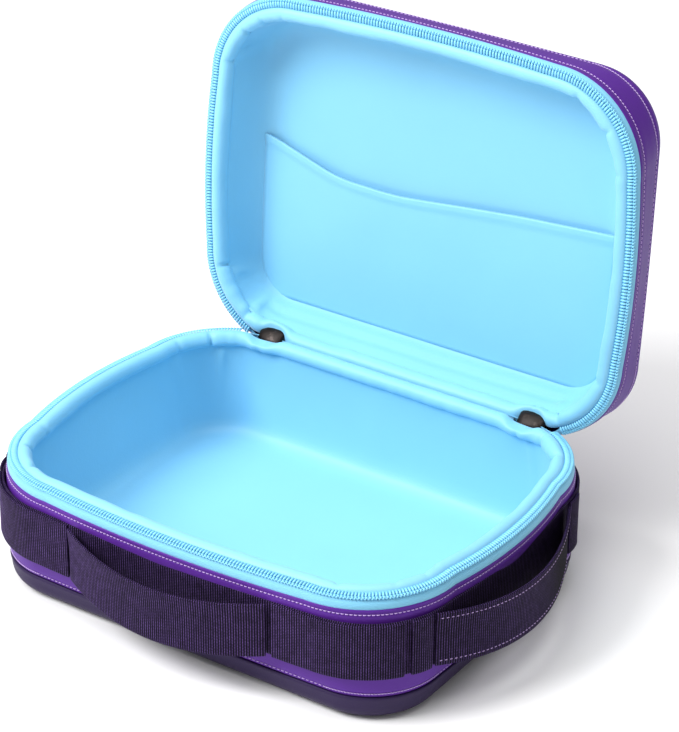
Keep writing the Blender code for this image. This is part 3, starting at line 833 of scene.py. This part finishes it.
def ribbon(name, feet, outs, along, curl=0.0):
    """Webbing along a line: feet are points at the middle of its inner face, outs where it faces."""
    tall = (WEB_HIGH - WEB_LOW) / 2
    front = [(-1.0, 0.45), (-0.985, 0.85), (-0.93, 1.0), (-0.6, 0.96), (-0.2, 0.94), (0.2, 0.94),
             (0.6, 0.96), (0.93, 1.0), (0.985, 0.85), (1.0, 0.45)]
    back = [(0.97, 0.02), (0.5, 0.0), (-0.5, 0.0), (-0.97, 0.02)]
    rib = 0.00007 * np.cos(TAU * along / sizes().rib)
    rows = []
    for up, depth in front + back:
        raised = rib if 0.9 <= depth <= 1.0 else 0
        out = depth * WEB_THICKNESS + raised + curl * max(up, 0) ** 2
        row = feet + outs * np.reshape(out, (-1, 1) if np.ndim(out) else ())
        row = row.copy()
        row[:, 2] += up * tall
        rows.append(row)
    grid = np.array(rows)
    closed = np.allclose(feet[0], feet[-1], atol=1e-5)
    if closed:
        grid = grid[:, :-1]
    return skin(name, grid, along, ring=closed, tube=True, caps=not closed)


def strap(name, count, start, end, node, bulge=0.0):
    """A layer of webbing on the body between two places; layer 0 lies on the cover."""
    places, along = even_places(sizes().rib / 2, start, end)
    middle = (WEB_HIGH + WEB_LOW) / 2
    inset = -(WEB_FIT + count * (WEB_THICKNESS + WEB_FIT))
    origins, _, outs = rim_axes(body_section, inset, middle, places)
    part = np.linspace(0, 1, len(places))
    swell = bulge * np.sin(math.pi * part) ** 0.6 if bulge else 0.00012 * (1 + wander(along, 35, 3 + count))
    feet = origins + outs * np.reshape(swell, (-1, 1))
    made = ribbon(name, feet, outs, along)
    return dress(made, "webbing", "webbing", "tub", node)


class LUNCH_OT_webbing(StepMixin, bpy.types.Operator):
    """Makes the belt round the body, the two front straps and the four pads that hold the side handles"""
    bl_idname = "lunch_box.webbing"
    bl_label = "Webbing"

    def execute(self, context):
        strap("webbing_belt", 0, 0.0, 8.0, "belt")
        pads = {
            "front_strap_left": (corner_place(STRAP_END_X, FRONT_LEFT), front_place(-HANDLE_END_X)),
            "front_strap_right": (front_place(HANDLE_END_X), corner_place(STRAP_END_X, FRONT_RIGHT)),
            "right_front_anchor": (FRONT_RIGHT + 1 - SIDE_FRONT - ANCHOR, FRONT_RIGHT + 1 - SIDE_FRONT),
            "right_rear_anchor": (REAR_RIGHT + SIDE_REAR, REAR_RIGHT + SIDE_REAR + ANCHOR),
            "left_rear_anchor": (REAR_LEFT + 1 - SIDE_REAR - ANCHOR, REAR_LEFT + 1 - SIDE_REAR),
            "left_front_anchor": (FRONT_LEFT + SIDE_FRONT, FRONT_LEFT + SIDE_FRONT + ANCHOR),
        }
        for node, (start, end) in pads.items():
            strap(f"{node}_web", 1, start, end, node, 0.0004)
        return {"FINISHED"}


def handle(node, start, end, bulge, out):
    """A webbing handle that bulges out between two places; the side handles have two rows of stitching."""
    inset = -(WEB_FIT + WEB_THICKNESS + WEB_FIT)
    first, last = (np.append(rim_line(body_section(WEB_HIGH), inset, [p])[0], 0) for p in (start, end))
    way = (last - first) / np.linalg.norm(last - first)
    first, last = first + way * HANDLE_GAP, last - way * HANDLE_GAP
    length = np.linalg.norm(last - first) * HANDLE_SLACK
    count = int(length / (sizes().rib / 2))
    part = np.linspace(0, 1, count)
    swell = 1 - (2 * part - 1) ** 2
    out = np.array((*out, 0.0))
    feet = first + (last - first) * part[:, None] + out * (bulge * swell)[:, None]
    feet[:, 2] = (WEB_LOW + WEB_HIGH) / 2 - HANDLE_DROOP * swell
    ahead = np.gradient(feet[:, :2], axis=0)
    ahead /= np.linalg.norm(ahead, axis=1)[:, None]
    outs = np.column_stack([ahead[:, 1], -ahead[:, 0], np.zeros(count)])
    outs *= np.sign((outs @ out).mean())
    along = np.linspace(0, length, count)
    made = ribbon(f"{node}_web", feet, outs, along, curl=HANDLE_CURL)
    dress(made, "webbing", "webbing", node, node)
    tall = (WEB_HIGH - WEB_LOW) / 2
    shape = rod([(-0.0007, -0.0003, 0), (-0.0004, 0.0001, 0), (0.0004, 0.0001, 0), (0.0007, -0.0003, 0)],
                0.00022, 5)
    some = np.arange(4, count - 4, 4)
    levels = {"high": tall - STITCH_EDGE, "low": STITCH_EDGE - tall} if node != "front_handle" else {}
    for label, level in levels.items():
        curl = HANDLE_CURL * max(level / tall, 0) ** 2
        origins = feet[some] + outs[some] * (WEB_THICKNESS * 0.97 + curl) + np.array((0, 0, level))
        rights = np.cross(outs[some], (0, 0, 1.0))
        ups = np.tile((0.0, 0.0, 1.0), (len(some), 1))
        dress(scatter(f"{node}_stitches_{label}", shape, origins, rights, outs[some], ups),
              "thread", "webbing", node)


class LUNCH_OT_handles(StepMixin, bpy.types.Operator):
    """Makes the three webbing handles with their rows of stitching"""
    bl_idname = "lunch_box.handles"
    bl_label = "Handles"

    def execute(self, context):
        handle("front_handle", front_place(-HANDLE_END_X), front_place(HANDLE_END_X), FRONT_BULGE, (0, -1))
        handle("right_handle", FRONT_RIGHT + 1 - SIDE_FRONT, REAR_RIGHT + SIDE_REAR, SIDE_BULGE, (1, 0))
        handle("left_handle", REAR_LEFT + 1 - SIDE_REAR, FRONT_LEFT + SIDE_FRONT, SIDE_BULGE, (-1, 0))
        return {"FINISHED"}


# ---------------------------------------------------------------- zip ends

def pillow(stations, power=3.2, sides=20):
    """Points and faces of a rounded bar along x; each station is (x, half depth, half height, y) in
    millimetres."""
    points = []
    for x, deep, tall, y in np.array(stations, float) * MM:
        for k in range(sides):
            angle = TAU * k / sides
            c, s = math.cos(angle), math.sin(angle)
            points.append((x, y + deep * math.copysign(abs(c) ** (2 / power), c),
                           tall * math.copysign(abs(s) ** (2 / power), s)))
    return np.array(points), tube_faces(len(stations), sides)


class LUNCH_OT_sliders(StepMixin, bpy.types.Operator):
    """Makes the two zip sliders, their pulls and the stops at the ends of the coil"""
    bl_idname = "lunch_box.sliders"
    bl_label = "Zip sliders"

    def execute(self, context):
        half = opened(True)
        for side, label in ((-1, "left"), (1, "right")):
            x, y, z = side * SLIDER_X, 0.0998, PARTING_Z
            stations = [(-8.0, 0.5, 2.4), (-7.7, 0.8, 3.3), (-6.5, 1.1, 4.1), (-4.0, 1.3, 4.5),
                        (0, 1.35, 4.5), (4.0, 1.3, 4.0), (6.5, 1.05, 3.2), (7.7, 0.8, 2.4), (8.0, 0.5, 1.6)]
            shell = pillow([(side * a, b, c, 1.2) for a, b, c in stations])
            dome = pillow([(side * a * 0.95, b * 2.0, c * 1.2, -5.6) for a, b, c in stations], 2.5)
            neck = ((-7.2, 0.8), (-6.6, 1.2), (-5.0, 1.2), (-4.2, 0.5))
            post = pillow([(side * a, 4.2, c, -2.2) for a, c in neck], 3.2, 12)
            hoop = ((-4.6, 2.0), (-3.4, 3.9), (-1.5, 5.0), (1.2, 5.0), (3.0, 3.8), (4.2, 2.0))
            bridge = pillow([(side * a, 0.9, 1.2, h) for a, h in hoop], 2.4, 12)
            made = self.drawn(f"zip_slider_{label}", joined(shell, dome, post, bridge), (x, y, z), half)
            dress(made, "metal", "zip_metal", f"slider_{label}", f"slider_{label}")
            stop_x = x - side * 0.0106
            bead = pillow([(-2, .7, 2.2, 0), (-1.6, 1.2, 2.9, 0), (1.6, 1.2, 2.9, 0), (2, .7, 2.2, 0)])
            made = self.drawn(f"zip_end_stop_{label}", bead, (stop_x, y, z), half)
            dress(made, "metal", "zip_metal", f"zip_end_{label}", f"zip_stop_{label}")
            low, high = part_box(f"pull_{label}")
            hung = ((low.x + high.x) / 2, (low.y + high.y) / 2, high.z)
            turns = np.linspace(0, TAU, 25)[:-1]
            loop = [(math.cos(t) * 2.6 * MM, 0, -4.6 * MM + math.sin(t) * 4.2 * MM) for t in turns]
            ring = self.ring(loop, 0.8 * MM)
            points, faces = pillow([(7.4, .6, 2.2, 0), (8.4, .78, 2.9, 0), (12, .8, 3.4, 0),
                                    (17, .8, 3.4, 0), (19.2, .7, 2.7, 0), (19.8, .4, 1.8, 0)], 3.2, 16)
            tongue = (points[:, [2, 1, 0]] * (1, 1, -1), faces)
            made = self.drawn(f"zip_pull_{label}", joined(ring, tongue), hung, Matrix())
            dress(made, "metal", "zip_metal", f"pull_{label}", f"pull_{label}")
        return {"FINISHED"}

    @staticmethod
    def ring(loop, radius, sides=8):
        """Points and faces of a round bar bent into a loop in the plane of x and z."""
        loop = np.array(loop)
        middle = loop.mean(0)
        points = []
        for point in loop:
            out = (point - middle) / np.linalg.norm(point - middle)
            for k in range(sides):
                angle = TAU * k / sides
                aside = math.cos(angle) * out + math.sin(angle) * np.array((0, 1, 0))
                points.append(point + radius * aside)
        return np.array(points), tube_faces(len(loop), sides, closed=True)

    @staticmethod
    def drawn(name, shape, place, matrix):
        points, faces = shape
        return mesh_object(name, points + np.array(place), faces, None, matrix)


# ---------------------------------------------------------------- lid

class LUNCH_OT_lid_cover(StepMixin, bpy.types.Operator):
    """Makes the lid's coated cover: its wall, its crowned top and their stitching"""
    bl_idname = "lunch_box.lid_cover"
    bl_label = "Lid cover"

    def execute(self, context):
        lid = opened()
        places, along = even_places(0.002)
        outer = [(1.1, 70.1), (0.4, 69.9), (0.0, 70.3), (-0.12, 71.6), (0.05, 73.6), (0.34, 74.6),
                 (0.05, 75.3), (-0.12, 76.4), (0, 79), (0, 84), (-0.1, 88.2), (0.05, 89.5),
                 (0.32, 90.2), (0.1, 90.8), (0.15, 91.6)]
        inner = [(1.2, 91.6), (1.25, 84), (1.25, 74)]
        shift = pucker(along[:-1], sizes().pucker, (74.6, 90.2))
        rows = sweep(lid_section, outer + inner, places[:-1], shift)
        wall = skin("lid_cover_wall", rows, along, tube=True, matrix=lid)
        dress(wall, "cover", "cover", "lid", "lid_wall")
        stitches("lid_stitches_zip", lid_section, 0.0746, "lid", lid)
        stitches("lid_stitches_top", lid_section, 0.0902, "lid", lid)

        places, along = even_places(0.003)
        edge = [(0.9, 90.9), (0.25, 91.3), (0.0, 92.0), (0.2, 94.0), (1.0, 96.6), (2.5, 99.0), (4.6, 101.0),
                (7.4, 102.4), (10.8, 103.2), (14.5, 103.4), (19, 103.4), (24, 103.4)]
        inside = [(24, 102.3), (11, 102.1), (5.2, 100.1), (2.2, 96.8), (1.25, 93.0)]
        rows = sweep(lid_section, edge, places[:-1])
        under = sweep(lid_section, inside, places[:-1])
        shares = (0.85, 0.65, 0.45, 0.25, 0.05)
        grid = np.concatenate([floor_rows(under[0], shares)[::-1], under, rows,
                               floor_rows(rows[-1], shares)])
        top = skin("lid_cover_top", grid, along, caps=True, matrix=lid)
        dress(top, "cover", "cover", "lid", "lid_top")
        return {"FINISHED"}


PAN_INSET = 0.0172        # from the lid's outline to the side of its hollow


def pan_half(y):
    """Half the width of the lid's hollow at a depth y of the closed lid."""
    half, _, deep, rounding, _, _ = lid_section(POCKET_Z)
    radius = rounding - PAN_INSET
    middle = deep - rounding
    straight = half - rounding
    over = np.clip(y - middle, 0, radius)
    return straight + np.sqrt(np.maximum(radius ** 2 - over ** 2, 0))


class LUNCH_OT_lid_lining(StepMixin, bpy.types.Operator):
    """Makes the lining of the lid, the roll round it and the slip pocket with its hem"""
    bl_idname = "lunch_box.lid_lining"
    bl_label = "Lid lining"

    def execute(self, context):
        lid = opened()
        made = roll("lid_roll", lid_section, mirrored(ROLL), 12, -1, "lid", lid)
        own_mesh(made)

        places, along = even_places(0.003)
        corner = corner_weight(places[:-1])
        slow, quick = wander(along[:-1], 14, 25), wander(along[:-1], 60, 26)
        folds = (1 - np.abs(np.sin(along[:-1] * 95 + 0.6))) ** 3 * corner
        hinge = back_weight(places[:-1])

        def sag(inset, z):
            wall = min(max((z - 0.069) / 0.004, 0), 1) * min(max((0.092 - z) / 0.006, 0), 1)
            near = min(max((0.086 - z) / 0.012, 0), 1)
            ridge = math.exp(-((z - 0.0765) / 0.0016) ** 2) + math.exp(-((z - 0.0845) / 0.0018) ** 2)
            waves = 0.0006 + 0.0008 * slow + 0.0003 * quick + folds * near * 0.0022
            return wall * waves + hinge * ridge * 0.0012, 0

        inner = [(12.2, 68.6), (11.9, 69.8), (11.8, 71.6), (11.9, 73.6), (12.1, 75.6), (12.4, 77.6),
                 (12.8, 79.6), (13.3, 81.6), (13.9, 83.6), (14.8, 85.8), (16.0, 88.0), (17.8, 90.2),
                 (20.2, 91.9), (23.4, 92.9), (27.0, 93.2)]
        outer = [(x - (0.8 if z < 91 else 0.4), z + (0.5 if z > 86 else 0)) for x, z in inner]
        grid = lining_rows(lid_section, inner, outer, places[:-1], sag, 0.0003, 22)
        made = skin("lid_lining", grid, along, caps=True, matrix=lid)
        dress(made, "liner", "liner", "lid", "lid_liner")
        self.pocket(lid)
        return {"FINISHED"}

    @staticmethod
    def pocket(lid):
        """The pocket: a sheet held along three sides, its mouth turned over a narrow hem."""
        marks_x = np.array([-118, -106, -59, -22, 16, 54, 99, 118]) * MM
        marks_y = np.array([-14.5, -13, 1.0, 1.5, -3, -7, -10, -11]) * MM
        across = np.linspace(-1, 1, 90)
        down = np.concatenate([np.linspace(0, 0.06, 5), np.linspace(0.09, 1, 34)])
        far = 0.0786
        front, back = [], []
        for t in down:
            wide = pan_half(np.array([t * far]))[0]
            x = across * wide
            mouth = np.interp(x, marks_x, marks_y)
            mouth = np.convolve(np.pad(mouth, 4, mode="edge"), np.ones(9) / 9, mode="valid")
            y = mouth + (far - mouth) * t
            x = across * pan_half(y)
            belly = (1 - across ** 2) ** 0.7 * (1 - t) ** 0.8
            ripple = np.array([noise.noise(Vector((a * 26, b * 40, 3.3))) for a, b in zip(x, y)])
            z = POCKET_Z - 0.0012 * belly - 0.0004 * ripple * (1 - t)
            hem = 0.0005 if t < 0.055 else 0.0
            front.append(np.column_stack([x, y, z - hem]))
            back.append(np.column_stack([x, y, z + 0.0007 + hem * 0.4]))
        grid = np.array(front + back[::-1])
        along = (across + 1) * 0.115
        made = skin("pocket_sheet", grid, along, ring=False, tube=True, caps=True, matrix=lid)
        dress(made, "liner", "liner", "lid", "pocket_panel", "pocket_hem")
        face = np.array(front)
        widths = np.linalg.norm(np.diff(face, axis=1), axis=2)
        depths = np.linalg.norm(np.diff(face, axis=0), axis=2)
        wide, deep = widths.sum(axis=1).max(), depths.sum(axis=0).max()
        sewn = (widths[:-1] * depths[:, :-1]).sum()
        cut = sewn + SEAM_ALLOWANCE * (wide + 2 * deep) + HEM_TURN * wide
        flat = (wide + 2 * SEAM_ALLOWANCE, deep + SEAM_ALLOWANCE + HEM_TURN)


class LUNCH_OT_filling(StepMixin, bpy.types.Operator):
    """Gives the foam and boards inside the walls their finishes"""
    bl_idname = "lunch_box.filling"
    bl_label = "Foam and boards"

    def execute(self, context):
        fillings = {"foam": ("body_foam", "floor_foam", "lid_foam_top", "lid_foam_wall"),
                    "board": ("base_board", "lid_board")}
        for finish, nodes in fillings.items():
            for node in nodes:
                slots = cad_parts[node].material_slots
                for slot in slots:
                    slot.material = finish_of(finish)
        return {"FINISHED"}


# ---------------------------------------------------------------- stage

FLOOR_REACH = 6.0
AIR_STRENGTH = 0.36
CAMERA_PLACE = (0.71571, -1.01931, 0.79229)
CAMERA_LOOK = Vector((-0.48625, 0.73891, -0.46645))
CAMERA_RIGHT = Vector((0.83243, 0.55405, 0.00992))
CAMERA_SHIFT = (-0.0384, -0.0443)
FOCAL_LENGTH = 142.4


def area_light(name, place, aim, size, power):
    lamp = bpy.data.lights.new(name, "AREA")
    lamp.shape, lamp.size, lamp.energy = "DISK", size, power
    made = bpy.data.objects.new(name, lamp)
    made.location = place
    made.rotation_euler = (Vector(aim) - Vector(place)).to_track_quat("-Z", "Y").to_euler()
    bpy.context.scene.collection.objects.link(made)


class LUNCH_OT_stage(StepMixin, bpy.types.Operator):
    """Makes the floor, the studio lights and the camera"""
    bl_idname = "lunch_box.stage"
    bl_label = "Stage"

    def execute(self, context):
        scene = context.scene
        corners = [(x * FLOOR_REACH, y * FLOOR_REACH, 0) for x, y in ((-1, -1), (1, -1), (1, 1), (-1, 1))]
        floor = mesh_object("studio_floor", corners, [[0, 1, 2, 3]])
        r = Recipe("studio_paper")
        tone = r.cloud(3, 2)
        floor.data.materials.append(r.finish(r.mix(tone, (0.93, 0.93, 0.93, 1), (0.95, 0.95, 0.95, 1)), 0.9))

        world = bpy.data.worlds.new("studio_air")
        scene.world = world
        world.use_nodes = True
        sky = world.node_tree.nodes["Background"]
        sky.inputs[0].default_value = (1, 1, 1, 1)
        sky.inputs[1].default_value = AIR_STRENGTH
        aim = (0, 0, 0.06)
        area_light("key_light", (-0.85, -1.15, 1.45), aim, 1.0, 40)
        area_light("top_light", (0.0, -0.2, 2.1), aim, 2.2, 34)

        look, right = CAMERA_LOOK.normalized(), CAMERA_RIGHT.normalized()
        up = right.cross(look)
        lens = bpy.data.cameras.new("studio_camera")
        lens.sensor_width, lens.lens = 36.0, FOCAL_LENGTH
        lens.shift_x, lens.shift_y = CAMERA_SHIFT
        lens.dof.use_dof = False
        camera = bpy.data.objects.new("studio_camera", lens)
        turn = Matrix((right, up, -look)).transposed().to_4x4()
        camera.matrix_world = Matrix.Translation(CAMERA_PLACE) @ turn
        scene.collection.objects.link(camera)
        scene.camera = camera
        scene.view_settings.view_transform = "Standard"
        return {"FINISHED"}


STEPS = (LUNCH_OT_stage, LUNCH_OT_base, LUNCH_OT_cover, LUNCH_OT_lining, LUNCH_OT_zip, LUNCH_OT_gusset,
         LUNCH_OT_webbing, LUNCH_OT_handles, LUNCH_OT_sliders, LUNCH_OT_lid_cover, LUNCH_OT_lid_lining,
         LUNCH_OT_filling)


class LUNCH_PT_panel(bpy.types.Panel):
    """Lists the sizes, the colours and the steps"""
    bl_idname = "LUNCH_PT_panel"
    bl_label = "Lunch box"
    bl_space_type = "VIEW_3D"
    bl_region_type = "UI"
    bl_category = "Lunch box"

    def draw(self, context):
        for group in (context.scene.lunch_box_sizes, context.scene.lunch_box_colours):
            column = self.layout.column(align=True)
            for key in group.__annotations__:
                column.prop(group, key)
        column = self.layout.column(align=True)
        for step in STEPS:
            column.operator(step.bl_idname)


CLASSES = (LunchBoxColours, LunchBoxSizes, *STEPS, LUNCH_PT_panel)


def register():
    for each in CLASSES:
        bpy.utils.register_class(each)
    bpy.types.Scene.lunch_box_colours = bpy.props.PointerProperty(type=LunchBoxColours)
    bpy.types.Scene.lunch_box_sizes = bpy.props.PointerProperty(type=LunchBoxSizes)


def unregister():
    del bpy.types.Scene.lunch_box_colours
    del bpy.types.Scene.lunch_box_sizes
    for each in reversed(CLASSES):
        bpy.utils.unregister_class(each)


def main():
    register()
    for step in STEPS:
        group, name = step.bl_idname.split(".")
        getattr(getattr(bpy.ops, group), name)()


if __name__ == "__main__":
    main()
